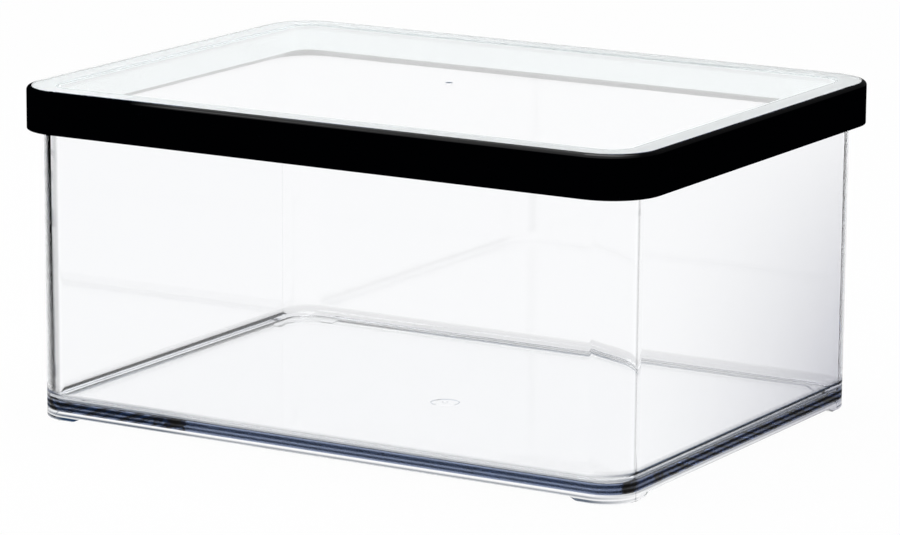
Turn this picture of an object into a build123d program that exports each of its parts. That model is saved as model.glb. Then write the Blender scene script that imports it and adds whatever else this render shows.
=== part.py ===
"""A rectangular storage box of clear plastic with a push-on lid.

The box is one moulding: four upright walls on a raised floor, with a skirt below the
floor that reaches the table only at its four rounded corners. The lid is three pieces:
a clear panel, an opaque band round its edge, and a soft seal that plugs the box's mouth.
The origin is on the table under the middle of the box. X runs along the long side.
"""

from build123d import *
import os

# Box body, measured at its mouth. Its outside and its cavity both narrow a little downward
box_length = 190.7
box_width = 140.7
box_height = 92.2
box_corner_radius = 10.35
box_draft = 0.15
mouth_wall = 2.0
cavity_draft = 0.2
floor_thickness = 2.6
floor_lift = 2.4
floor_fillet = 3.0
rim_round = 0.5
base_chamfer = 0.3
skirt_wall = 2.4

# Feet, which are what the reliefs in the skirt leave at its corners
foot_reach = 13.5
relief_height = 1.2
relief_slope_run = 2.5

# Gate mark under the floor: a shallow dish with the trimmed gate in its middle
floor_gate_x = 4.5
floor_gate_y = -7.8
floor_gate_radius = 4.2
floor_gate_depth = 0.4
floor_nub_radius = 0.8

# Lid panel, with a raised border, and a rib underneath that carries the seal
lid_overhang = 4.65
panel_thickness = 2.0
border_width = 8.0
border_rise = 0.25
border_slope = 45.0
lid_gate_radius = 1.1
lid_gate_depth = 0.3
rib_thickness = 0.8
rib_depth = 5.0
rib_chamfer = 0.2

# Lid band, a hoop round the panel whose top edge is rounded
band_thickness = 1.4
band_height = 12.2
band_top_drop = 0.1
lid_edge_round = 1.2
band_foot_chamfer = 0.3

# Seal: a flat web under the panel and a channel that hangs into the mouth
seal_web = 1.0
seal_leg = 0.6
seal_depth = 7.2
seal_foot_chamfer = 0.4
seal_lip_reach = 0.6
seal_lip_height = 1.0
seal_lip_edge = 0.3
seal_lip_pitch = 2.4
seal_lip_count = 2

# Fits
seat_gap = 0.1
mouth_clearance = 0.3
bond_gap = 0.05
band_to_seal = 0.3
overrun = 1.0

# Levels, worked out upward from the table
floor_top = floor_lift + floor_thickness
web_bottom = box_height + seat_gap
panel_bottom = web_bottom + seal_web + bond_gap
lid_top = panel_bottom + panel_thickness
band_top = lid_top - band_top_drop
band_bottom = band_top - band_height
seal_bottom = panel_bottom - bond_gap - seal_depth

# Insets, all measured inward from the lid's outline
lip_tip_inset = lid_overhang + mouth_wall + mouth_clearance
leg_inset = lip_tip_inset + seal_lip_reach
rib_inset = leg_inset + seal_leg + bond_gap
inner_leg_inset = rib_inset + rib_thickness + bond_gap
seal_inner_inset = inner_leg_inset + seal_leg
web_inset = band_thickness + band_to_seal


def box_outline(inset, mode=Mode.ADD):
    """The box's rounded outline, drawn in by an inset."""
    radius = box_corner_radius - inset
    return RectangleRounded(box_length - 2 * inset, box_width - 2 * inset, radius, mode=mode)


def lid_outline(inset, mode=Mode.ADD):
    """The lid's rounded outline, drawn in by an inset. Its corners share the box's centres."""
    return box_outline(inset - lid_overhang, mode)


def lid_ring(outer_inset, inner_inset):
    """A closed ring that follows the lid's outline between two insets."""
    lid_outline(outer_inset)
    lid_outline(inner_inset, mode=Mode.SUBTRACT)


def relief_profile(side):
    """The long low gap under one side of the skirt, sloped up at both ends."""
    low = side / 2 - foot_reach
    high = low - relief_slope_run
    Polygon(
        (-low, -overrun),
        (-low, 0),
        (-high, relief_height),
        (high, relief_height),
        (low, 0),
        (low, -overrun),
        align=None,
    )


# The box's cavity, drawn at the mouth and narrowed downward by its draft
with BuildPart() as cavity:
    with BuildSketch(Plane.XY.offset(box_height)):
        box_outline(mouth_wall)
    extrude(amount=-(box_height - floor_top), taper=cavity_draft)
    fillet(cavity.edges().group_by(Axis.Z)[0], radius=floor_fillet)

# Box: a rounded block, hollowed from the top and from below
with BuildPart() as box:
    with BuildSketch(Plane.XY.offset(box_height)):
        box_outline(0)
    extrude(amount=-box_height, taper=box_draft)
    chamfer(box.edges().group_by(Axis.Z)[0], length=base_chamfer)
    add(cavity.part, mode=Mode.SUBTRACT)
    fillet(box.edges().group_by(Axis.Z)[-1], radius=rim_round)
    with BuildSketch(Plane.XY):
        box_outline(skirt_wall)
    extrude(amount=floor_lift, mode=Mode.SUBTRACT)
    with BuildSketch(Plane.XZ):
        relief_profile(box_length)
    extrude(amount=box_width / 2 + overrun, both=True, mode=Mode.SUBTRACT)
    with BuildSketch(Plane.YZ):
        relief_profile(box_width)
    extrude(amount=box_length / 2 + overrun, both=True, mode=Mode.SUBTRACT)
    with BuildSketch(Plane.XY.offset(floor_lift)):
        with Locations((floor_gate_x, floor_gate_y)):
            Circle(floor_gate_radius)
            Circle(floor_nub_radius, mode=Mode.SUBTRACT)
    extrude(amount=floor_gate_depth, mode=Mode.SUBTRACT)
box.part.label = "box"

# Lid panel: a plate whose middle is recessed inside a sloped step, with a rib underneath
with BuildPart() as lid_panel:
    with BuildSketch(Plane.XY.offset(panel_bottom)):
        lid_outline(band_thickness + bond_gap)
    extrude(amount=panel_thickness)
    with BuildSketch(Plane.XY.offset(lid_top)):
        lid_outline(border_width)
    extrude(amount=-border_rise, taper=border_slope, mode=Mode.SUBTRACT)
    with BuildSketch(Plane.XY.offset(lid_top - border_rise)):
        Circle(lid_gate_radius)
    extrude(amount=-lid_gate_depth, mode=Mode.SUBTRACT)
    with BuildSketch(Plane.XY.offset(panel_bottom)):
        lid_ring(rib_inset, rib_inset + rib_thickness)
    extrude(amount=-rib_depth)
    chamfer(lid_panel.edges().group_by(Axis.Z)[0], length=rib_chamfer)
lid_panel.part.label = "lid_panel"

# Lid band: a hoop round the panel
with BuildPart() as lid_band:
    with BuildSketch(Plane.XY.offset(band_bottom)):
        lid_outline(0)
    extrude(amount=band_height)
    fillet(lid_band.edges().group_by(Axis.Z)[-1], radius=lid_edge_round)
    with BuildSketch(Plane.XY.offset(band_bottom)):
        lid_outline(band_thickness)
    extrude(amount=band_height, mode=Mode.SUBTRACT)
    chamfer(lid_band.edges().group_by(Axis.Z)[0], length=band_foot_chamfer)
lid_band.part.label = "lid_band"

# Lid seal: a web and a plug with lips round it, hollowed, then slit to take the panel's rib
with BuildPart() as lid_seal:
    with BuildSketch(Plane.XY.offset(seal_bottom)):
        lid_outline(leg_inset)
    extrude(amount=seal_depth)
    chamfer(lid_seal.edges().group_by(Axis.Z)[0], length=seal_foot_chamfer)
    for lip in range(seal_lip_count):
        lip_bottom_z = seal_bottom + seal_foot_chamfer + lip * seal_lip_pitch
        for height, inset in (
            (0, leg_inset),
            (seal_lip_height - seal_lip_edge, lip_tip_inset),
            (seal_lip_height, lip_tip_inset),
        ):
            with BuildSketch(Plane.XY.offset(lip_bottom_z + height)):
                lid_outline(inset)
        loft(ruled=True)
    with BuildSketch(Plane.XY.offset(web_bottom)):
        lid_outline(web_inset)
    extrude(amount=seal_web)
    with BuildSketch(Plane.XY.offset(seal_bottom)):
        lid_outline(seal_inner_inset)
    extrude(amount=seal_depth, mode=Mode.SUBTRACT)
    with BuildSketch(Plane.XY.offset(panel_bottom)):
        lid_ring(rib_inset - bond_gap, inner_leg_inset)
    extrude(amount=-(rib_depth + 2 * bond_gap), mode=Mode.SUBTRACT)
lid_seal.part.label = "lid_seal"

os.makedirs("parts", exist_ok=True)
for piece in (box, lid_panel, lid_band, lid_seal):
    export_step(piece.part, f"parts/{piece.part.label}.step")
    size = piece.part.bounding_box().size
    print(f"{piece.part.label}: {size.X:.1f} x {size.Y:.1f} x {size.Z:.1f} mm")
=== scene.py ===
# %% [markdown]
# # A clear storage box with a black-edged lid
# This lesson dresses four moulded pieces: a clear box, a clear lid panel, a black band and
# a soft white seal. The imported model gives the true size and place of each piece. Clear
# plastic shows every facet of a coarse mesh, so each piece is made again here as a finer
# mesh of the same size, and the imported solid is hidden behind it.

import math

import bmesh
import bpy
from mathutils import Matrix, Vector


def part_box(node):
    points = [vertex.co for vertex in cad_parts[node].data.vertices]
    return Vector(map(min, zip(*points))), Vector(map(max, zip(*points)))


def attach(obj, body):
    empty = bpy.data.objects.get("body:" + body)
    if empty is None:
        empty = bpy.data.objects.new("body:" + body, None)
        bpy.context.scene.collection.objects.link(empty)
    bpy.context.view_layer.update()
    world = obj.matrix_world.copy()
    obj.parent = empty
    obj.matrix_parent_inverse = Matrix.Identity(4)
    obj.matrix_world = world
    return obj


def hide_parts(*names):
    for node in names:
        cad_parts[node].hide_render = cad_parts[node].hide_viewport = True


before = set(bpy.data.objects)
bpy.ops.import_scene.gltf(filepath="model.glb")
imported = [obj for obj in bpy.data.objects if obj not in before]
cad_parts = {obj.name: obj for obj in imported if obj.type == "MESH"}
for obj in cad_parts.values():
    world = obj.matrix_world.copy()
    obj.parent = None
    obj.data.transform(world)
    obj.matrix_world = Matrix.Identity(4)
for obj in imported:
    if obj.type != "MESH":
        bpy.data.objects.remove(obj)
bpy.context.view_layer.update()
MM = 0.001
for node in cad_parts:
    low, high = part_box(node)
    print(node, [round((b - a) / MM, 2) for a, b in zip(low, high)], "mm")

# %% [markdown]
# ## Sizes
# A moulding is drawn from a handful of sizes. The outer ones are read here from the packed
# model, in metres. Wall thicknesses and small radii are written further down, with the
# piece that needs them first.

# %% Sizes read from the frame
box_low, box_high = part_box("box")
panel_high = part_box("lid_panel")[1]
band_low, band_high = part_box("lid_band")
seal_low, seal_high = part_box("lid_seal")

box_length = box_high[0] - box_low[0]
box_width = box_high[1] - box_low[1]
rim_z = box_high[2]
lid_length = band_high[0] - band_low[0]
lid_width = band_high[1] - band_low[1]
lid_top = panel_high[2]
band_bottom, band_top = band_low[2], band_high[2]
seal_bottom, seal_top = seal_low[2], seal_high[2]
overhang = (lid_length - box_length) / 2
print("the lid stands out past the walls by", round(overhang / MM, 2), "mm")

# %% [markdown]
# ## Nodes written as Python
# Shader and geometry trees are easier to read as sums than as wires. This class wraps one
# socket. Adding, subtracting or multiplying wrapped sockets adds Math nodes, and one
# method makes every other kind of node. A node's settings come before its inputs, because
# a setting can change which inputs there are.


# %% The wire class
class Wire:
    """One output socket of a node tree, with arithmetic."""

    def __init__(self, socket):
        self.socket = socket

    def node(self, kind, settings=None, inputs=None, output=0):
        """Adds a node, sets its settings first, then its inputs, and returns one output."""
        tree = self.socket.id_data
        made = tree.nodes.new(kind)
        for name, value in (settings or {}).items():
            if name == "stops":
                fill_ramp(made.color_ramp, value)
            else:
                setattr(made, name, value)
        for name, value in (inputs or {}).items():
            if isinstance(value, Wire):
                tree.links.new(value.socket, made.inputs[name])
            else:
                made.inputs[name].default_value = value
        return Wire(made.outputs[output])

    def maths(self, operation, *others):
        """A Math node that starts from this wire."""
        values = dict(enumerate((self, *others)))
        return self.node("ShaderNodeMath", {"operation": operation}, values)

    def __add__(self, other):
        return self.maths("ADD", other)

    def __sub__(self, other):
        return self.maths("SUBTRACT", other)

    def __rsub__(self, other):
        return self.node("ShaderNodeMath", {"operation": "SUBTRACT"}, {0: other, 1: self})

    def __mul__(self, other):
        return self.maths("MULTIPLY", other)

    __radd__ = __add__
    __rmul__ = __mul__


def fill_ramp(ramp, stops):
    """Gives a colour ramp its stops, as (place, colour) pairs."""
    for element, (place, colour) in ((ramp.elements[1], stops[-1]), (ramp.elements[0], stops[0])):
        element.position = place
        element.color = (*colour, 1.0)
    for place, colour in stops[1:-1]:
        ramp.elements.new(place).color = (*colour, 1.0)


# %% Values and colours
WHITE = (1.0, 1.0, 1.0, 1.0)


def clamp(value):
    """A value kept between 0 and 1."""
    return value.maths("MAXIMUM", 0.0).maths("MINIMUM", 1.0)


def parts(wire):
    """The three parts of a place or a colour, one wire each."""
    split = wire.node("ShaderNodeSeparateXYZ", None, {"Vector": wire}).socket.node
    return [Wire(socket) for socket in split.outputs]


def blend(share, low, high):
    """A colour that goes from low to high as the share goes from 0 to 1."""
    return share.node("ShaderNodeMix", {"data_type": "RGBA"}, {0: share, 6: low, 7: high}, 2)


def times(first, second):
    """Two colours multiplied channel by channel."""
    return first.node("ShaderNodeVectorMath", {"operation": "MULTIPLY"}, {0: first, 1: second})


def scaled(colour, share):
    """A colour times one number."""
    return colour.node("ShaderNodeVectorMath", {"operation": "SCALE"}, {0: colour, "Scale": share})


# %% Noise, relief and marks
def noise(place, scale, detail):
    """Smooth noise over a piece."""
    inputs = {"Vector": place, "Scale": scale, "Detail": detail}
    return place.node("ShaderNodeTexNoise", None, inputs)


def relief(height, strength, distance):
    """A height that bends the light at the surface and leaves the mesh as it is."""
    inputs = {"Height": height, "Strength": strength, "Distance": distance}
    return height.node("ShaderNodeBump", None, inputs)


def mark(place, name, output="Fac"):
    """A value that the mesh itself carries under a name."""
    return place.node("ShaderNodeAttribute", {"attribute_name": name}, None, output)


# %% Materials and shaders
def start_material(name):
    """A new material, its shader node, and its Object coordinates as a wire."""
    material = bpy.data.materials.new(name)
    material.use_nodes = True
    tree = material.node_tree
    shader = tree.nodes["Principled BSDF"]
    place = Wire(tree.nodes.new("ShaderNodeTexCoord").outputs["Object"])
    return material, shader, place


def plug(wire, shader, name):
    """Feeds a wire into a named input of a shader."""
    shader.id_data.links.new(wire.socket, shader.inputs[name])


def mix_shaders(share, first, second):
    """Two shaders mixed: the first where the share is 0 and the second where it is 1."""
    return share.node("ShaderNodeMixShader", None, {0: share, 1: first, 2: second})


# %% [markdown]
# ## Clear plastic
# The box and the panel are moulded in a hard clear plastic that bends light a little more
# than acrylic does. One wall of it looks clear, and a long run through it looks blue-black.
# A tint on the surface would colour every wall alike. An absorbing volume does what the
# plastic does: it takes a share of the light for each millimetre, most of it from the red.
#
# Three shaders are mixed on the surface. The polished one bends and mirrors light. A plain
# refraction only bends it, and drops what a real surface would mirror, so a share of it
# stands for light that is lost on its way round a corner. A second refraction, in a deep
# colour, passes very little light and draws the dark lines in the thick edge as painted
# shade. The next steps make what goes into the mix.

# %% [markdown]
# ## Painted shade lines in the thick edge
# The thick lower edge of the box shows thin dark lines, from the studio and from light
# caught in the plastic. To get them from the light alone, every lamp and card of that
# studio would have to be known. Instead they are painted on the outer skin as shade, by
# height above the table, in one dark colour. A line has a lowest and a highest place, soft
# sides, and the share of the light that it takes. The long and the short sides have their
# own lines.

# %% Painted shade lines in the thick edge
EDGE_REACH = 10.0 * MM
# The dark colour of the painted shade lines.
PAINTED_LINE_SHADE = (0.0, 0.03, 0.08, 1.0)
# Lowest place, highest place and width of the soft sides in millimetres, then the share of
# painted shade.
LONG_SHADE_LINES = (
    (0.5, 1.0, 0.25, 0.88), (1.75, 1.85, 0.45, 0.65), (3.4, 3.75, 0.35, 0.83),
    (3.7, 4.6, 0.3, 0.22), (4.6, 5.2, 0.4, 0.88), (6.2, 6.35, 0.35, 0.55),
    (7.2, 7.4, 0.9, 0.25),
)
SHORT_SHADE_LINES = (
    (2.4, 2.6, 0.4, 0.5), (3.35, 3.75, 0.3, 0.96), (3.7, 4.8, 0.3, 0.35),
    (4.75, 5.3, 0.35, 0.98), (6.4, 6.8, 0.35, 0.72), (7.8, 8.1, 0.4, 0.93),
    (8.1, 8.6, 0.9, 0.3),
)


def line_share(lines, place):
    """The most that any line takes at a place. Lines are (low, high, soft side, share)."""
    return max(
        share * min(max(min(place - low, high - place) / side + 1.0, 0.0), 1.0)
        for low, high, side, share in lines
    )


def line_stops(lines, reach):
    """A ramp's stops for a set of lines whose places are in millimetres."""
    places = {p for low, high, side, _ in lines for p in (low - side, low, high, high + side)}
    return [(p * MM / reach, (line_share(lines, p),) * 3) for p in sorted(places)]


for side, lines in (("long", LONG_SHADE_LINES), ("short", SHORT_SHADE_LINES)):
    print(len(lines), "lines on a", side, "side,", len(line_stops(lines, EDGE_REACH)), "stops")

# %% Painted shade over the thick edge
LEFT_START = -35.0 * MM
LEFT_RUN = 16.0 * MM


def painted_edge_shade(along, height, short, skin):
    """The share of painted shade that the lines take, and more of it toward the left of a long
    side.
    """
    share = height * (1.0 / EDGE_REACH)
    on_long, on_short = (
        share.node("ShaderNodeValToRGB", {"stops": line_stops(lines, EDGE_REACH)}, {"Fac": share})
        for lines in (LONG_SHADE_LINES, SHORT_SHADE_LINES)
    )
    left = clamp((LEFT_START - along) * (1.0 / LEFT_RUN))
    on_long = on_long * (1.0 + (1.0 - on_long) * left)
    return (on_long + (on_short - on_long) * short) * skin


# %% [markdown]
# ## Shade of the right wall
# In the photo the right wall is clear at its front and a soft blue-grey low at its back. A
# darker floor behind the box would change every other wall too, so the shade is a smooth
# share of one colour on the same outer skin.

# %% Shade of the right wall
SHADE_COLOUR = (0.0, 0.0, 0.12, 1.0)
SHADE_POWER = 1.6
SHADE_LOW = 0.5
SHADE_HIGH = 0.01


def wall_shade(along, across, height, short, skin):
    """The share that the shade takes, which grows toward the back and downward."""
    back = (across * (1.0 / box_width) + 0.5).maths("MAXIMUM", 0.0).maths("POWER", SHADE_POWER)
    low = (1.0 - height * (1.0 / rim_z)) * SHADE_LOW + SHADE_HIGH
    right = (along * (2.0 / box_length)).maths("MAXIMUM", 0.0) * short * skin
    return back * low * right


# %% [markdown]
# ## Polish
# The polish of a mould is never perfect. A slow waviness bends the reflections a little,
# and a faint haze comes and goes. Both are noise on the piece's own coordinates, so they
# stay on the piece, and both are too weak to be seen as a pattern.

# %% Polish
HAZE_SCALE = 60.0
HAZE_DETAIL = 3.0
HAZE_ROUGHNESS = 0.01
WAVE_SCALE = 18.0
WAVE_DETAIL = 1.0
WAVE_STRENGTH = 0.02
WAVE_DEPTH = 1.0 * MM


def give_polish(place, shader):
    """Gives a shader its faint haze and waviness, and returns the waviness."""
    plug(noise(place, HAZE_SCALE, HAZE_DETAIL) * HAZE_ROUGHNESS, shader, "Roughness")
    wave = relief(noise(place, WAVE_SCALE, WAVE_DETAIL), WAVE_STRENGTH, WAVE_DEPTH)
    plug(wave, shader, "Normal")
    return wave


# %% [markdown]
# ## Mixing the clear plastic
# Apart from the polish, only the polished shader's colour and the two shares of the mix
# change over the surface. That shader takes the square root of its colour at each crossing,
# so the colour is squared first. The mesh carries two marks for this. The zone holds the
# share of light lost, the outer skin and the short sides. The veil is painted shade that
# dims light going straight through.

# %% Colour and mix
CLEAR_IOR = 1.57
# The colour of the refraction that carries the painted shade.
DEEP_SHADE_COLOUR = (0.0, 0.006, 0.025, 1.0)
ZONE_NAME = "zone"
# The mark for painted shade that dims straight light.
SHADE_VEIL_NAME = "veil"
LEAST_KEPT = 0.001


def crossing_colour(place, short, skin):
    """The colour of the light that is left after one crossing, darkened by painted shade."""
    along, across, height = parts(place)
    lines = blend(painted_edge_shade(along, height, short, skin), WHITE, PAINTED_LINE_SHADE)
    shade = blend(wall_shade(along, across, height, short, skin), WHITE, SHADE_COLOUR)
    return scaled(times(lines, shade), 1.0 - mark(place, SHADE_VEIL_NAME))


def refraction(colour, wave):
    """A shader that bends light in one colour and mirrors none of it."""
    inputs = {"Color": colour, "IOR": CLEAR_IOR, "Normal": wave}
    return wave.node("ShaderNodeBsdfRefraction", None, inputs)


def mix_clear(shader, colour, loss, skin, wave):
    """Colours the polished shader and mixes the two refractions into it."""
    red, green, blue = parts(colour)
    peak = red.maths("MAXIMUM", green).maths("MAXIMUM", blue)
    kept = (1.0 - (1.0 - peak) * skin).maths("MAXIMUM", LEAST_KEPT)
    hue = scaled(colour, kept.maths("POWER", -1.0))
    plug(times(hue, hue), shader, "Base Color")
    gone = 1.0 - (1.0 - loss) * kept
    passed = (loss * peak).maths("DIVIDE", gone)
    thin = mix_shaders(passed, refraction(DEEP_SHADE_COLOUR, wave), refraction(WHITE, wave))
    return mix_shaders(gone, Wire(shader.outputs[0]), thin)


# %% Clear plastic
CLEAR_DENSITY = 11.0
CLEAR_TINT = (0.04, 0.17, 0.42, 1.0)


def make_clear_plastic(name):
    """The plastic of the box and the panel: three shaders on its skin and a tint inside."""
    material, shader, place = start_material(name)
    shader.inputs["Transmission Weight"].default_value = 1.0
    shader.inputs["IOR"].default_value = CLEAR_IOR
    wave = give_polish(place, shader)
    loss, outer, short = parts(mark(place, ZONE_NAME, "Vector"))
    inside = place.node("ShaderNodeNewGeometry", None, None, "Backfacing")
    skin = outer * (1.0 - inside)
    mixed = mix_clear(shader, crossing_colour(place, short, skin), loss, skin, wave)
    inputs = {"Color": CLEAR_TINT, "Density": CLEAR_DENSITY}
    volume = place.node("ShaderNodeVolumeAbsorption", None, inputs)
    tree = material.node_tree
    output = tree.nodes["Material Output"]
    tree.links.new(mixed.socket, output.inputs["Surface"])
    tree.links.new(volume.socket, output.inputs["Volume"])
    return material


clear_plastic = make_clear_plastic("clear_plastic")
print("clear_plastic has", len(clear_plastic.node_tree.nodes), "nodes")

# %% [markdown]
# ## Black plastic
# The band is an opaque black moulding. In the photo its sides are close to pure black, and
# only the rounded top edge catches a thin line of light, along the long sides. A gloss all
# over would mirror the white studio and turn the band grey. So the plastic itself mirrors
# nothing, and a clear coat lies on the edge alone, where the mesh carries a mark. A fine
# grain breaks up what little light is left.

# %% Black plastic
BLACK = (0.0004, 0.0005, 0.0009, 1.0)
BLACK_ROUGHNESS = 0.2
GRAIN_SCALE = 900.0
GRAIN_DETAIL = 2.0
GRAIN_ROUGHNESS = 0.08
GRAIN_STRENGTH = 0.03
GRAIN_DEPTH = 0.1 * MM
COAT_ROUGHNESS = 0.12
EDGE_SHINE = 0.6
SHINE_NAME = "edge_shine"
SHINE_START = -58.0 * MM
SHINE_RUN = 16.0 * MM


def make_black_plastic(name):
    """The band's black, grained plastic, with a painted highlight: a coat on its marked edge."""
    material, shader, place = start_material(name)
    shader.inputs["Base Color"].default_value = BLACK
    shader.inputs["Specular IOR Level"].default_value = 0.0
    shader.inputs["Coat Roughness"].default_value = COAT_ROUGHNESS
    # The painted highlight fades out toward the band's left end.
    lit = clamp((parts(place)[0] - SHINE_START) * (1.0 / SHINE_RUN))
    plug(mark(place, SHINE_NAME) * lit * EDGE_SHINE, shader, "Coat Weight")
    grain = noise(place, GRAIN_SCALE, GRAIN_DETAIL)
    plug(grain * GRAIN_ROUGHNESS + BLACK_ROUGHNESS, shader, "Roughness")
    plug(relief(grain, GRAIN_STRENGTH, GRAIN_DEPTH), shader, "Normal")
    return material


black_plastic = make_black_plastic("black_plastic")
print("black_plastic has", len(black_plastic.node_tree.nodes), "nodes")

# %% [markdown]
# ## Seal rubber
# The seal is a soft, milky white ring that is seen through the clear border. Light goes
# into it and comes out again nearby, which is what subsurface scattering does. The white
# studio lights it from all sides, also through the plastic, where few rays find it. A weak
# glow of painted light makes up for those, dimmer on the web at the top than on the legs
# below it.

# %% Seal rubber
SEAL_WHITES = ((0.86, 0.88, 0.885, 1.0), (0.90, 0.915, 0.92, 1.0))
CLOUD_SCALE = 40.0
CLOUD_DETAIL = 2.0
CLOUD_ROUGHNESS = 0.1
SEAL_ROUGHNESS = 0.4
SEAL_SOFTNESS = 0.3
SEAL_SCATTER = 1.0 * MM
# A weak glow of painted light, dimmer on the web than on the legs.
SEAL_GLOW = 0.4
SEAL_GLOWS = ((0.44, 0.5, 0.49, 1.0), (0.88, 1.0, 0.98, 1.0))
SEAL_DIM_DEPTH = 0.8 * MM
SEAL_LIT_RUN = 0.4 * MM


def make_seal_rubber(name):
    """The seal's soft plastic: cloudy white, light spreading inside it, and a painted glow."""
    material, shader, place = start_material(name)
    cloud = noise(place, CLOUD_SCALE, CLOUD_DETAIL)
    plug(blend(cloud, *SEAL_WHITES), shader, "Base Color")
    plug(cloud * CLOUD_ROUGHNESS + SEAL_ROUGHNESS, shader, "Roughness")
    below = clamp((seal_top - SEAL_DIM_DEPTH - parts(place)[2]) * (1.0 / SEAL_LIT_RUN))
    plug(blend(below, *SEAL_GLOWS), shader, "Emission Color")
    shader.inputs["Emission Strength"].default_value = SEAL_GLOW
    shader.inputs["Subsurface Weight"].default_value = SEAL_SOFTNESS
    shader.inputs["Subsurface Radius"].default_value = (SEAL_SCATTER,) * 3
    return material


seal_rubber = make_seal_rubber("seal_rubber")
print("seal_rubber has", len(seal_rubber.node_tree.nodes), "nodes")

# %% [markdown]
# ## Profiles
# Each piece has the same cross-section all the way round its rounded rectangle. So a
# piece is a profile, drawn once as points of (inset, height), that is swept round the
# outline. Insets are measured inward from the outline.


# %% Drawing a profile
ROUND_STEPS = 8


def bend(inset, height, radius, start, turn):
    """Points on an arc round (inset, height). Angles in degrees, from the inset axis."""
    angles = [math.radians(start + turn * i / ROUND_STEPS) for i in range(ROUND_STEPS + 1)]
    return [(inset + radius * math.cos(a), height + radius * math.sin(a)) for a in angles]


def add_object(name, data):
    """A new object in the scene."""
    made = bpy.data.objects.new(name, data)
    bpy.context.scene.collection.objects.link(made)
    return made


def profile_curve(name, points, closed):
    """A poly curve of a profile, with insets along -X and heights along -Y."""
    curve = bpy.data.curves.new(name, "CURVE")
    curve.dimensions = "3D"
    spline = curve.splines.new("POLY")
    spline.points.add(len(points) - 1)
    for point, (inset, height) in zip(spline.points, points):
        point.co = (-inset, -height, 0.0, 1.0)
    spline.use_cyclic_u = closed
    return add_object(name, curve)


# %% [markdown]
# ## The sweep
# The tree below draws the rounded rectangle from its length, width and corner radius, and
# runs the profile along it. Python loops could place the same points. The tree keeps the
# sizes as named inputs, and one tree serves all four pieces.

# %% The sweep tree
SWEEP_INPUTS = {
    "Geometry": "NodeSocketGeometry",
    "Length": "NodeSocketFloat",
    "Width": "NodeSocketFloat",
    "Corner Radius": "NodeSocketFloat",
    "Corner Steps": "NodeSocketInt",
    "Profile": "NodeSocketObject",
    "Finish": "NodeSocketMaterial",
}


def make_sweep_tree():
    """The tree that runs a profile round a rounded rectangle."""
    tree = bpy.data.node_groups.new("swept_moulding", "GeometryNodeTree")
    for name, kind in SWEEP_INPUTS.items():
        tree.interface.new_socket(name, in_out="INPUT", socket_type=kind)
    tree.interface.new_socket("Geometry", in_out="OUTPUT", socket_type="NodeSocketGeometry")
    entry = tree.nodes.new("NodeGroupInput")
    given = {s.name: Wire(s) for s in entry.outputs if s.name}
    start = given["Length"]
    outline = start.node(
        "GeometryNodeCurvePrimitiveQuadrilateral",
        {"mode": "RECTANGLE"},
        {"Width": given["Length"], "Height": given["Width"]},
    )
    rounded = start.node(
        "GeometryNodeFilletCurve",
        {"mode": "POLY"},
        {"Curve": outline, "Count": given["Corner Steps"], "Radius": given["Corner Radius"]},
    )
    upright = start.node("GeometryNodeSetCurveNormal", {"mode": "Z_UP"}, {"Curve": rounded})
    drawn = start.node("GeometryNodeObjectInfo", None, {"Object": given["Profile"]}, "Geometry")
    curves = {"Curve": upright, "Profile Curve": drawn}
    swept = start.node("GeometryNodeCurveToMesh", None, curves)
    real = start.node("GeometryNodeRealizeInstances", None, {"Geometry": swept})
    finished = {"Geometry": real, "Material": given["Finish"]}
    done = start.node("GeometryNodeSetMaterial", None, finished)
    leave = tree.nodes.new("NodeGroupOutput")
    tree.links.new(done.socket, leave.inputs["Geometry"])
    return tree


sweep_tree = make_sweep_tree()
print("the sweep tree has", len(sweep_tree.nodes), "nodes")

# %% Sweeping a profile
CORNER_STEPS = 32


def sweep(name, points, closed, sides, finish):
    """Sweeps a profile round a rounded rectangle and returns the result as a bmesh."""
    profile = profile_curve(name + "_profile", points, closed)
    carrier = add_object(name + "_carrier", bpy.data.meshes.new(name + "_carrier"))
    modifier = carrier.modifiers.new("sweep", "NODES")
    modifier.node_group = sweep_tree
    length, width, radius = sides
    given = {
        "Length": length, "Width": width, "Corner Radius": radius,
        "Corner Steps": CORNER_STEPS, "Profile": profile, "Finish": finish,
    }
    for item in sweep_tree.interface.items_tree:
        if item.in_out == "INPUT" and item.name in given:
            modifier[item.identifier] = given[item.name]
    evaluated = carrier.evaluated_get(bpy.context.evaluated_depsgraph_get())
    mesh = bpy.data.meshes.new_from_object(evaluated)
    solid = bmesh.new()
    solid.from_mesh(mesh)
    for old in (carrier, profile):
        bpy.data.objects.remove(old)
    bpy.data.meshes.remove(mesh)
    xs = [v.co.x for v in solid.verts]
    zs = [v.co.z for v in solid.verts]
    print(name, len(solid.verts), "vertices", round((max(xs) - min(xs)) / MM, 3), "mm long",
          round(min(zs) / MM, 3), "to", round(max(zs) / MM, 3))
    return solid


# %% [markdown]
# ## Finishing a swept piece
# A sweep of an open profile leaves holes, which each piece fills in its own way. After
# that all pieces are treated alike: doubled points are merged, faces are turned outward,
# and the mesh is shaded smooth with its sharp edges kept. Weighted normals keep the large
# flat faces flat beside small rounds, which a finer mesh alone wouldn't do.

# %% A closed, smooth mesh
FLAT = 1e-6
SHARP_ANGLE = math.radians(30.0)


def open_loops(solid, height):
    """The open edges of a bmesh that lie at one height."""
    return [
        e for e in solid.edges
        if e.is_boundary and all(abs(v.co.z - height) < FLAT for v in e.verts)
    ]


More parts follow.
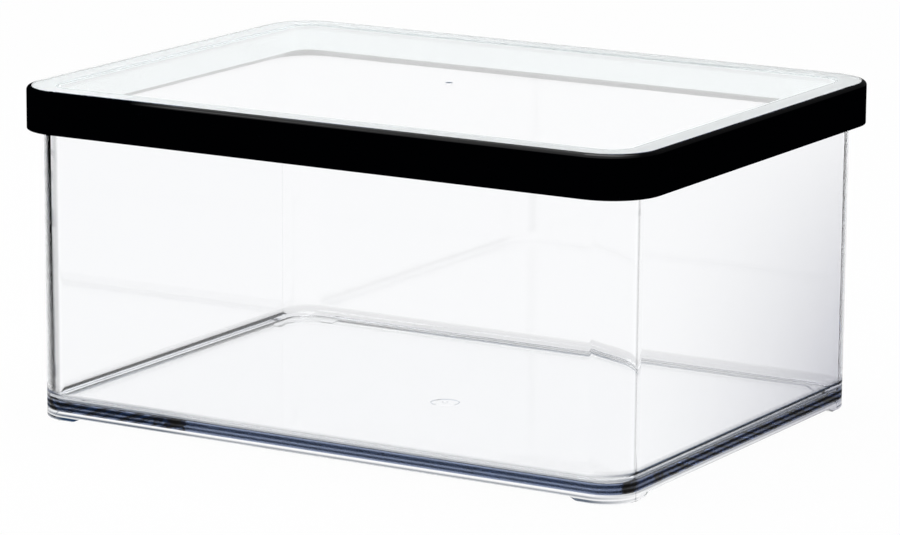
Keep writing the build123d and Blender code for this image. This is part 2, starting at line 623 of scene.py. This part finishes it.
def smooth_mesh(name, solid, finish):
    """A smooth mesh with its faces outward, made from a closed bmesh."""
    bmesh.ops.remove_doubles(solid, verts=solid.verts, dist=FLAT)
    bmesh.ops.recalc_face_normals(solid, faces=solid.faces)
    if solid.calc_volume(signed=True) < 0:
        bmesh.ops.reverse_faces(solid, faces=solid.faces)
    stray = sum(not e.is_manifold for e in solid.edges)
    print(name, len(solid.faces), "faces", stray, "open edges",
          round(solid.calc_volume() / MM**3), "cubic mm")
    mesh = bpy.data.meshes.new(name)
    solid.to_mesh(mesh)
    solid.free()
    mesh.materials.clear()
    mesh.materials.append(finish)
    for polygon in mesh.polygons:
        polygon.use_smooth = True
        polygon.material_index = 0
    mesh.set_sharp_from_angle(angle=SHARP_ANGLE)
    return mesh


# %% A piece that stands for a node
# A weight of 50 is neutral, and one of 100 lets the largest faces decide the normals.
LARGE_FACES_FIRST = 100


def finish_piece(name, solid, finish, body, node):
    """Turns a closed bmesh into a shaded piece that stands for a node."""
    piece = add_object(name, smooth_mesh(name, solid, finish))
    weigh = piece.modifiers.new("weighted_normals", "WEIGHTED_NORMAL")
    weigh.keep_sharp = True
    weigh.weight = LARGE_FACES_FIRST
    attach(piece, body)
    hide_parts(node)
    return piece


# %% [markdown]
# ## Black band
# The band is a hoop round the lid's edge, with a rounded top edge, a small round at its
# foot and a flat inside. Its closed profile is swept round the lid's outline, whose corners
# share their centres with the box's. Bevelling a cut-out plate could give the same hoop,
# and the sweep needs no choice of which edges to bevel.

# %% Black band
BOX_RADIUS = 10.35 * MM
BAND_THICKNESS = 1.4 * MM
BAND_FOOT_ROUND = 0.3 * MM
LID_EDGE_ROUND = 1.2 * MM


def band_profile():
    """The band's closed section, with a rounded top edge."""
    foot = BAND_FOOT_ROUND
    inner_foot = BAND_THICKNESS - foot
    points = bend(LID_EDGE_ROUND, band_top - LID_EDGE_ROUND, LID_EDGE_ROUND, 180, -90)
    points += [(BAND_THICKNESS, band_top)]
    points += bend(inner_foot, band_bottom + foot, foot, 0, -90)
    points += bend(foot, band_bottom + foot, foot, -90, -90)
    return points


lid_sides = (lid_length, lid_width, BOX_RADIUS + overhang)
band = finish_piece(
    "band", sweep("band", band_profile(), True, lid_sides, black_plastic),
    black_plastic, "lid", "lid_band",
)

# %% [markdown]
# ## The line of light on the band
# The coat is a painted highlight and lies where the mesh carries the shine mark: on the upper
# part of the rounded edge, in full along the long sides, and fading through the corners to
# almost nothing on the short ones. A mark on the points is enough, because the shader fades
# between them.

# %% The line of light on the band
SHINE_ROUND_SHARE = 0.7
SHINE_TURN_START = 25.0
SHINE_TURN_RUN = 35.0
LEAST_SHINE = 0.08


def corner_turn(x, y):
    """How far round its corner a place is: 0 degrees on a short side and 90 on a long one."""
    across = max(abs(y) - box_width / 2 + BOX_RADIUS, 0.0)
    along = max(abs(x) - box_length / 2 + BOX_RADIUS, 0.0)
    return math.degrees(math.atan2(across, along))


shine = band.data.attributes.new(SHINE_NAME, "FLOAT", "POINT")
for vertex in band.data.vertices:
    x, y, z = vertex.co
    if z > band_top - LID_EDGE_ROUND * SHINE_ROUND_SHARE:
        share = (corner_turn(x, y) - SHINE_TURN_START) / SHINE_TURN_RUN
        shine.data[vertex.index].value = min(max(share, LEAST_SHINE), 1.0)
print(sum(point.value > 0.0 for point in shine.data), "points of the band can shine")

# %% [markdown]
# ## Seal
# The seal is one soft ring. Its flat web lies under the border, and a channel hangs into
# the box's mouth, with two lips round its outside and a slit that takes the panel's rib.
# All of that is one closed profile. Its top is drawn a hair into the panel, because a
# film of air between them would mirror part of the light before it reaches the seal.

# %% Sizes of the seal
MOUTH_WALL = 2.0 * MM
MOUTH_CLEARANCE = 0.3 * MM
BOND_GAP = 0.05 * MM
CONTACT = 0.02 * MM
BAND_TO_SEAL = 0.3 * MM
SEAL_WEB = 1.0 * MM
SEAL_LEG = 0.6 * MM
SEAL_FOOT_ROUND = 0.4 * MM
LIP_COUNT = 2
LIP_REACH = 0.6 * MM
LIP_HEIGHT = 1.0 * MM
LIP_EDGE = 0.3 * MM
LIP_PITCH = 2.4 * MM
RIB_THICKNESS = 0.8 * MM
RIB_DEPTH = 5.0 * MM

leg_inset = overhang + MOUTH_WALL + MOUTH_CLEARANCE + LIP_REACH
rib_inset = leg_inset + SEAL_LEG + BOND_GAP
inner_leg_inset = rib_inset + RIB_THICKNESS + BOND_GAP
seal_inner_inset = inner_leg_inset + SEAL_LEG
print("the seal's channel runs from", round(leg_inset / MM, 2), "to",
      round(seal_inner_inset / MM, 2), "mm inside the lid's outline")


# %% Seal
def seal_profile():
    """The seal's closed section: web, outer leg with lips, channel for the rib, inner leg."""
    web_outer = BAND_THICKNESS + BAND_TO_SEAL
    web_bottom = seal_top - SEAL_WEB
    foot = SEAL_FOOT_ROUND
    top = seal_top + BOND_GAP + CONTACT
    points = [(web_outer, top), (web_outer, web_bottom), (leg_inset, web_bottom)]
    for lip in reversed(range(LIP_COUNT)):
        root = seal_bottom + foot + lip * LIP_PITCH
        tip = leg_inset - LIP_REACH
        points += [
            (leg_inset, root + LIP_HEIGHT), (tip, root + LIP_HEIGHT),
            (tip, root + LIP_HEIGHT - LIP_EDGE), (leg_inset, root),
        ]
    points += bend(leg_inset + foot, seal_bottom + foot, foot, 180, 90)[1:]
    points += bend(seal_inner_inset - foot, seal_bottom + foot, foot, -90, 90)
    slot_bottom = seal_top - RIB_DEPTH - BOND_GAP
    points += [
        (seal_inner_inset, top), (inner_leg_inset, top), (inner_leg_inset, slot_bottom),
        (rib_inset - BOND_GAP, slot_bottom), (rib_inset - BOND_GAP, top),
    ]
    return points


finish_piece(
    "seal", sweep("seal", seal_profile(), True, lid_sides, seal_rubber),
    seal_rubber, "lid", "lid_seal",
)

# %% [markdown]
# ## Lid panel
# The panel is a clear plate with a raised border, a rib underneath and a small dimple that
# the mould's gate leaves in its middle. The sweep makes the border, the edge and the rib.
# The recess on top and the flat underneath are then filled with triangles, and the dimple
# is stitched into the recess as rings of points. Cutting it with a Boolean can leave thin
# faces, which show in clear plastic.

# %% Panel profile
PANEL_THICKNESS = 2.0 * MM
BORDER_WIDTH = 8.0 * MM
BORDER_RISE = 0.25 * MM
RIB_ROUND = 0.2 * MM
panel_bottom = lid_top - PANEL_THICKNESS
recess_top = lid_top - BORDER_RISE
print("the panel lies from", round(panel_bottom / MM, 2), "to", round(lid_top / MM, 2), "mm")


def panel_profile():
    """The panel's open section, from the recess on its top to the flat inside its rib."""
    edge = BAND_THICKNESS + BOND_GAP
    rib_end = rib_inset + RIB_THICKNESS
    rib_bottom = panel_bottom - RIB_DEPTH
    points = [(BORDER_WIDTH, recess_top), (BORDER_WIDTH - BORDER_RISE, lid_top)]
    points += [(edge, lid_top), (edge, panel_bottom), (rib_inset, panel_bottom)]
    points += bend(rib_inset + RIB_ROUND, rib_bottom + RIB_ROUND, RIB_ROUND, 180, 90)
    points += bend(rib_end - RIB_ROUND, rib_bottom + RIB_ROUND, RIB_ROUND, -90, 90)
    points += [(rib_end, panel_bottom)]
    return points


# %% Filling a hole
MARK_STEPS = 32


def ring_of_points(solid, place, radius, height):
    """A level ring of new points in a bmesh."""
    turns = [2 * math.pi * i / MARK_STEPS for i in range(MARK_STEPS)]
    spots = [(place[0] + radius * math.cos(a), place[1] + radius * math.sin(a)) for a in turns]
    return [solid.verts.new((*spot, height)) for spot in spots]


def fill_round(solid, height, rings, place=(0.0, 0.0)):
    """Closes an open loop round a mark, made of rings of (radius, height)."""
    outer = open_loops(solid, height)
    loops = [ring_of_points(solid, place, radius, level) for radius, level in rings]
    first = loops[0]
    edges = [solid.edges.new((first[i - 1], first[i])) for i in range(MARK_STEPS)]
    bmesh.ops.triangle_fill(solid, use_beauty=True, edges=outer + edges)
    for low, high in zip(loops, loops[1:]):
        for i in range(MARK_STEPS):
            solid.faces.new((low[i - 1], low[i], high[i], high[i - 1]))
    solid.faces.new(loops[-1])


def fill_flat(solid, height):
    """Closes an open loop with flat faces."""
    bmesh.ops.triangle_fill(solid, use_beauty=True, edges=open_loops(solid, height))


# %% Lid panel
DIMPLE_RADIUS = 1.1 * MM
DIMPLE_DEPTH = 0.3 * MM
DIMPLE_FOOT_SHARE = 0.85

panel_solid = sweep("lid_panel", panel_profile(), False, lid_sides, clear_plastic)
fill_round(panel_solid, recess_top, [
    (DIMPLE_RADIUS, recess_top),
    (DIMPLE_RADIUS * DIMPLE_FOOT_SHARE, recess_top - DIMPLE_DEPTH),
])
fill_flat(panel_solid, panel_bottom)
panel = finish_piece("panel", panel_solid, clear_plastic, "lid", "lid_panel")

# %% Painted shade on the border
# The raised border gets a painted shade that grows darker toward the right.
BORDER_SHADE_VEIL = 0.12
BORDER_SHADE_SLANT = 0.17
shade_veils = panel.data.attributes.new(SHADE_VEIL_NAME, "FLOAT", "POINT")
for vertex in panel.data.vertices:
    if vertex.co.z > lid_top - FLAT:
        shade_veils.data[vertex.index].value = BORDER_SHADE_VEIL + BORDER_SHADE_SLANT * vertex.co.x / lid_length
print(sum(point.value > 0.0 for point in shade_veils.data), "points of the border have a veil")

# %% [markdown]
# ## Box
# The walls lean in a little toward the foot, so that the real box comes out of its mould.
# One open profile runs from the edge of the floor up the inside, over the rim, down the
# outside and under the skirt. Then the skirt is lifted between the four feet, and the
# floor is closed on top and underneath, round the mark of the mould's gate. The extra
# rows of points on the walls are there to carry marks that change with height.

# %% Box profile
BOX_DRAFT = math.radians(0.15)
CAVITY_DRAFT = math.radians(0.2)
FLOOR_LIFT = 2.4 * MM
FLOOR_THICKNESS = 2.6 * MM
FLOOR_FILLET = 3.0 * MM
SKIRT_WALL = 2.4 * MM
RIM_ROUND = 0.5 * MM
BASE_CHAMFER = 0.3 * MM
WALL_ROWS = (10.0 * MM, 8.5 * MM)
CAVITY_ROWS = tuple(z * MM for z in (18.0, 28.0, 38.0, 50.0, 64.0, 78.0))
floor_top = FLOOR_LIFT + FLOOR_THICKNESS


def box_profile():
    """The box's open section, from the edge of its floor, over the rim, to under the floor."""
    lean = math.tan(CAVITY_DRAFT)
    wall = MOUTH_WALL + (rim_z - floor_top) * lean
    fillet = FLOOR_FILLET
    points = bend(wall + fillet, floor_top + fillet, fillet, -90, -90)
    points += [(MOUTH_WALL + (rim_z - z) * lean, z) for z in CAVITY_ROWS]
    points += bend(MOUTH_WALL - RIM_ROUND, rim_z - RIM_ROUND, RIM_ROUND, 0, 90)
    points += bend(RIM_ROUND, rim_z - RIM_ROUND, RIM_ROUND, 90, 90)
    points += [((rim_z - z) * math.tan(BOX_DRAFT), z) for z in WALL_ROWS]
    base = rim_z * math.tan(BOX_DRAFT)
    points += [(base, BASE_CHAMFER), (base + BASE_CHAMFER, 0.0)]
    points += [(SKIRT_WALL, 0.0), (SKIRT_WALL, FLOOR_LIFT)]
    return points


print("the box's profile has", len(box_profile()), "points")

# %% Feet
FOOT_REACH = 13.5 * MM
RELIEF_HEIGHT = 1.2 * MM
RELIEF_SLOPE_RUN = 2.5 * MM


def cut_reliefs(solid):
    """Lifts the skirt's lower edge between the feet, with a slope at each end."""
    stops = []
    for axis, side in ((0, box_length), (1, box_width)):
        low = side / 2 - FOOT_REACH
        for place in (low, low - RELIEF_SLOPE_RUN, -low, RELIEF_SLOPE_RUN - low):
            normal = Vector((axis == 0, axis == 1, 0))
            whole = solid.verts[:] + solid.edges[:] + solid.faces[:]
            bmesh.ops.bisect_plane(solid, geom=whole, plane_co=normal * place, plane_no=normal)
        stops.append(low)
    for v in solid.verts:
        if v.co.z < FLOOR_LIFT / 2:
            rises = [(stop - abs(v.co[i])) / RELIEF_SLOPE_RUN for i, stop in enumerate(stops)]
            v.co.z += RELIEF_HEIGHT * min(max(*rises, 0.0), 1.0)


# %% Box
GATE_PLACE = (4.5 * MM, -7.8 * MM)
DISH_RADIUS = 4.2 * MM
DISH_DEPTH = 0.4 * MM
DISH_TOP_SHARE = 0.95
NUB_RADIUS = 0.8 * MM
NUB_TIP_SHARE = 0.8

box_sides = (box_length, box_width, BOX_RADIUS)
box_solid = sweep("box", box_profile(), False, box_sides, clear_plastic)
cut_reliefs(box_solid)
fill_flat(box_solid, floor_top)
dish_top = FLOOR_LIFT + DISH_DEPTH
fill_round(box_solid, FLOOR_LIFT, [
    (DISH_RADIUS, FLOOR_LIFT), (DISH_RADIUS * DISH_TOP_SHARE, dish_top),
    (NUB_RADIUS, dish_top), (NUB_RADIUS * NUB_TIP_SHARE, FLOOR_LIFT),
], GATE_PLACE)
container = finish_piece("container", box_solid, clear_plastic, "box", "box")

# %% [markdown]
# ## Light lost on the way
# Light that enters a rounded corner runs round inside it and is partly lost, and the real
# corners show dark lines there. The simulated plastic is too perfect to lose any. So each
# point of the mesh is marked with the share that is lost, by the angle round its corner,
# and with the painted shade veils. Marks on the mesh stay where they are when the camera
# moves.

# %% Lines in the corners
# Places and soft sides in degrees, from 0 at the short wall to 90 at the long one.
OUTER_LINES = ((4.0, 86.0, 4.0, 1.0),)
INNER_LINES = ((-10.0, 12.0, 12.0, 0.72), (57.0, 75.0, 25.0, 0.97))
# In the photo the dark lines spread away from one angle lower down, by their own shares.
CALM_TURN = 27.0
SPREAD_TOP = 75.0 * MM
SPREAD_DROP = 53.0 * MM
LEFT_SPREAD = 0.25
RIGHT_SPREAD = 0.65


def depth_share(z):
    """How far down a place is: 0 near the rim and 1 a spread's drop below it."""
    return (SPREAD_TOP - z) / SPREAD_DROP


def inner_loss(x, y, z, turn):
    """The share lost on the inside of a corner, spread out lower down in two of the four."""
    spread = LEFT_SPREAD if turn > CALM_TURN else RIGHT_SPREAD
    spread = 1.0 + spread * depth_share(z) if x * y > 0 else 1.0
    return line_share(INNER_LINES, CALM_TURN + (turn - CALM_TURN) / spread)


print("an inner corner loses", round(line_share(INNER_LINES, CALM_TURN), 2), "at its calm angle")

# %% Painted shade veils in the corners
RIGHT_SHADE_VEILS = ((-1.0, 4.0, 4.0, 0.5),)
LEFT_SHADE_VEILS = ((63.0, 75.0, 6.0, 0.38),)
DEEP_SHADE_VEILS = ((62.0, 66.0, 4.0, 0.45),)


def corner_painted_shade(x, y, z, turn):
    """The share of painted shade on straight light inside the front right and front left corners.
    """
    if x > 0 > y:
        return line_share(RIGHT_SHADE_VEILS, turn)
    if x < 0 and y < 0:
        deep = line_share(DEEP_SHADE_VEILS, turn) * max(depth_share(z), 0.0)
        return line_share(LEFT_SHADE_VEILS, turn) + deep
    return 0.0


# %% Marks on the box
FILLET_LOSS = 0.06
# Painted shade on the back half of the floor's fillet.
BACK_SHADE_VEIL = 0.14


def loss_and_painted_shade(x, y, z, in_corner, outside):
    """The share of light lost at a place on the box, and the share of painted shade."""
    turn = corner_turn(x, y)
    above_fillet = z > floor_top + FLOOR_FILLET - FLAT
    if in_corner and outside and z > WALL_ROWS[0] - FLAT:
        return line_share(OUTER_LINES, turn), 0.0
    if in_corner and not outside and above_fillet:
        return inner_loss(x, y, z, turn), corner_painted_shade(x, y, z, turn)
    if not outside and z > floor_top + FLAT and not above_fillet:
        return FILLET_LOSS, BACK_SHADE_VEIL if y > 0 else 0.0
    return 0.0, 0.0


def mark_zones(mesh):
    """Writes the share lost, whether this is the outside, the side's kind, and painted shade."""
    mesh.attributes.new(ZONE_NAME, "FLOAT_VECTOR", "POINT")
    mesh.attributes.new(SHADE_VEIL_NAME, "FLOAT", "POINT")
    # Both are fetched by name, because adding the second can move the first.
    zones, shade_veils = mesh.attributes[ZONE_NAME], mesh.attributes[SHADE_VEIL_NAME]
    centre = Vector((box_length / 2 - BOX_RADIUS, box_width / 2 - BOX_RADIUS))
    middle = BOX_RADIUS - MOUTH_WALL / 2
    for vertex in mesh.vertices:
        x, y, z = vertex.co
        out = Vector((abs(x), abs(y))) - centre
        in_corner = max(out) > 0.0 and min(out) > -FLAT
        outside = out.length > middle if in_corner else max(out) > middle
        short = 1.0 - corner_turn(x, y) / 90.0 if in_corner else float(out.x > FLAT)
        loss, veil = loss_and_painted_shade(x, y, z, in_corner, outside)
        zones.data[vertex.index].vector = (loss, float(outside), short)
        shade_veils.data[vertex.index].value = veil
    print(sum(point.vector.x > 0.0 for point in zones.data), "points of the box lose light")


mark_zones(container.data)

# %% [markdown]
# ## The studio
# The box stands on a white floor in a white room. The camera, reflections and clear plastic
# see both as white, and other light sees a dimmer room, so that the white doesn't flood the
# pieces. The floor mixes in a little plain grey, which keeps a faint soft shadow.


# %% What sees the white
def sees_backdrop(tree):
    """One for the rays that see the white backdrop, and none for the rest."""
    path = tree.nodes.new("ShaderNodeLightPath")
    seen = Wire(path.outputs["Is Camera Ray"]) + Wire(path.outputs["Is Glossy Ray"])
    return (seen + Wire(path.outputs["Is Transmission Ray"])).maths("MINIMUM", 1.0)


# %% Floor
FLOOR_SPAN = 8.0
FLOOR_GREY = (0.9, 0.9, 0.9, 1.0)
FLOOR_GLOW = 0.97


def make_floor():
    """The white floor, which isn't part of the box."""
    mesh = bpy.data.meshes.new("floor")
    half = FLOOR_SPAN / 2
    corners = [(-half, -half, 0), (half, -half, 0), (half, half, 0), (-half, half, 0)]
    mesh.from_pydata(corners, [], [(0, 1, 2, 3)])
    floor = add_object("floor", mesh)
    material = bpy.data.materials.new("white_sweep")
    material.use_nodes = True
    tree = material.node_tree
    tree.nodes.clear()
    seen = sees_backdrop(tree)
    dull = seen.node("ShaderNodeBsdfDiffuse", None, {"Color": FLOOR_GREY})
    glow = seen.node("ShaderNodeEmission", None, {"Color": WHITE, "Strength": 1.0})
    mixed = mix_shaders(seen * FLOOR_GLOW, dull, glow)
    output = tree.nodes.new("ShaderNodeOutputMaterial")
    tree.links.new(mixed.socket, output.inputs["Surface"])
    mesh.materials.append(material)
    return floor


floor = make_floor()
print("the floor is", floor.dimensions.x, "m across")

# %% World
FILL_COLOUR = (0.8, 0.85, 0.9, 1.0)
FILL_STRENGTH = 0.4

world = bpy.data.worlds.new("studio")
bpy.context.scene.world = world
world.use_nodes = True
world_tree = world.node_tree
world_tree.nodes.clear()
seen = sees_backdrop(world_tree)
backdrop, fill_light = (
    seen.node("ShaderNodeBackground", None, {"Color": colour, "Strength": strength})
    for colour, strength in ((WHITE, 1.0), (FILL_COLOUR, FILL_STRENGTH))
)
sky = mix_shaders(seen, fill_light, backdrop)
world_output = world_tree.nodes.new("ShaderNodeOutputWorld")
world_tree.links.new(sky.socket, world_output.inputs["Surface"])
print("the world has", len(world_tree.nodes), "nodes")

# %% [markdown]
# ## Lamps
# Two large lamps, one above and one at the front left, light the seal and the floor, and
# draw the line on the band's edge. Large lamps make soft highlights and soft shadows.

# %% Lamps
LAMP_AIM = Vector((0.0, 0.0, 0.05))
# Name, place in metres, length and width in metres, and power in watts.
LAMPS = (
    ("top_box", (0.0, 0.1, 1.2), (1.0, 0.8), 9.0),
    ("side_box", (-1.0, -0.6, 0.9), (0.6, 0.6), 4.0),
)


def soft_lamp(name, place, size, power):
    """A rectangular lamp that points at the box."""
    lamp = bpy.data.lights.new(name, "AREA")
    lamp.shape = "RECTANGLE"
    lamp.size, lamp.size_y = size
    lamp.energy = power
    holder = add_object(name, lamp)
    holder.location = place
    holder.rotation_mode = "QUATERNION"
    holder.rotation_quaternion = (LAMP_AIM - Vector(place)).to_track_quat("-Z", "Y")


for name, place, size, power in LAMPS:
    soft_lamp(name, place, size, power)
    print(name, "gives", power, "W")

# %% [markdown]
# ## Camera
# The camera was fitted to edges of the box in the photo: its focal length in pixels of a
# picture 900 pixels wide, its place in metres, and its three turns. A fitted camera makes
# every later comparison with the photo a fair one.

# %% Camera
FOCAL_PIXELS = 4677.8
PICTURE_WIDTH = 900
SENSOR_WIDTH = 36.0
YAW = math.radians(30.6339)
PITCH = math.radians(12.0703)
ROLL = math.radians(0.3868)
CAMERA_PLACE = Vector((0.66466, -1.12118, 0.32041))

level = Vector((math.cos(YAW), math.sin(YAW), 0.0))
forward = Vector((
    -math.sin(YAW) * math.cos(PITCH), math.cos(YAW) * math.cos(PITCH), -math.sin(PITCH),
))
upward = level.cross(forward)
right = level * math.cos(ROLL) + upward * math.sin(ROLL)
up = upward * math.cos(ROLL) - level * math.sin(ROLL)
camera_data = bpy.data.cameras.new("camera")
camera_data.sensor_width = SENSOR_WIDTH
camera_data.lens = FOCAL_PIXELS * SENSOR_WIDTH / PICTURE_WIDTH
camera = add_object("camera", camera_data)
camera.matrix_world = Matrix((right, up, -forward)).transposed().to_4x4()
camera.location = CAMERA_PLACE
bpy.context.scene.camera = camera
bpy.context.scene.view_settings.view_transform = "Standard"
print("the lens is", round(camera_data.lens, 1), "mm")

# %% [markdown]
# ## Bounces
# Light is guided along the clear floor by many reflections inside it. With too few
# bounces it is stopped on the way, which leaves dark places in the thick edge.

# %% Bounces
BOUNCES = 32
rays = bpy.context.scene.cycles
rays.max_bounces = BOUNCES
rays.glossy_bounces = BOUNCES
rays.transmission_bounces = BOUNCES
print("light may bounce", rays.max_bounces, "times")
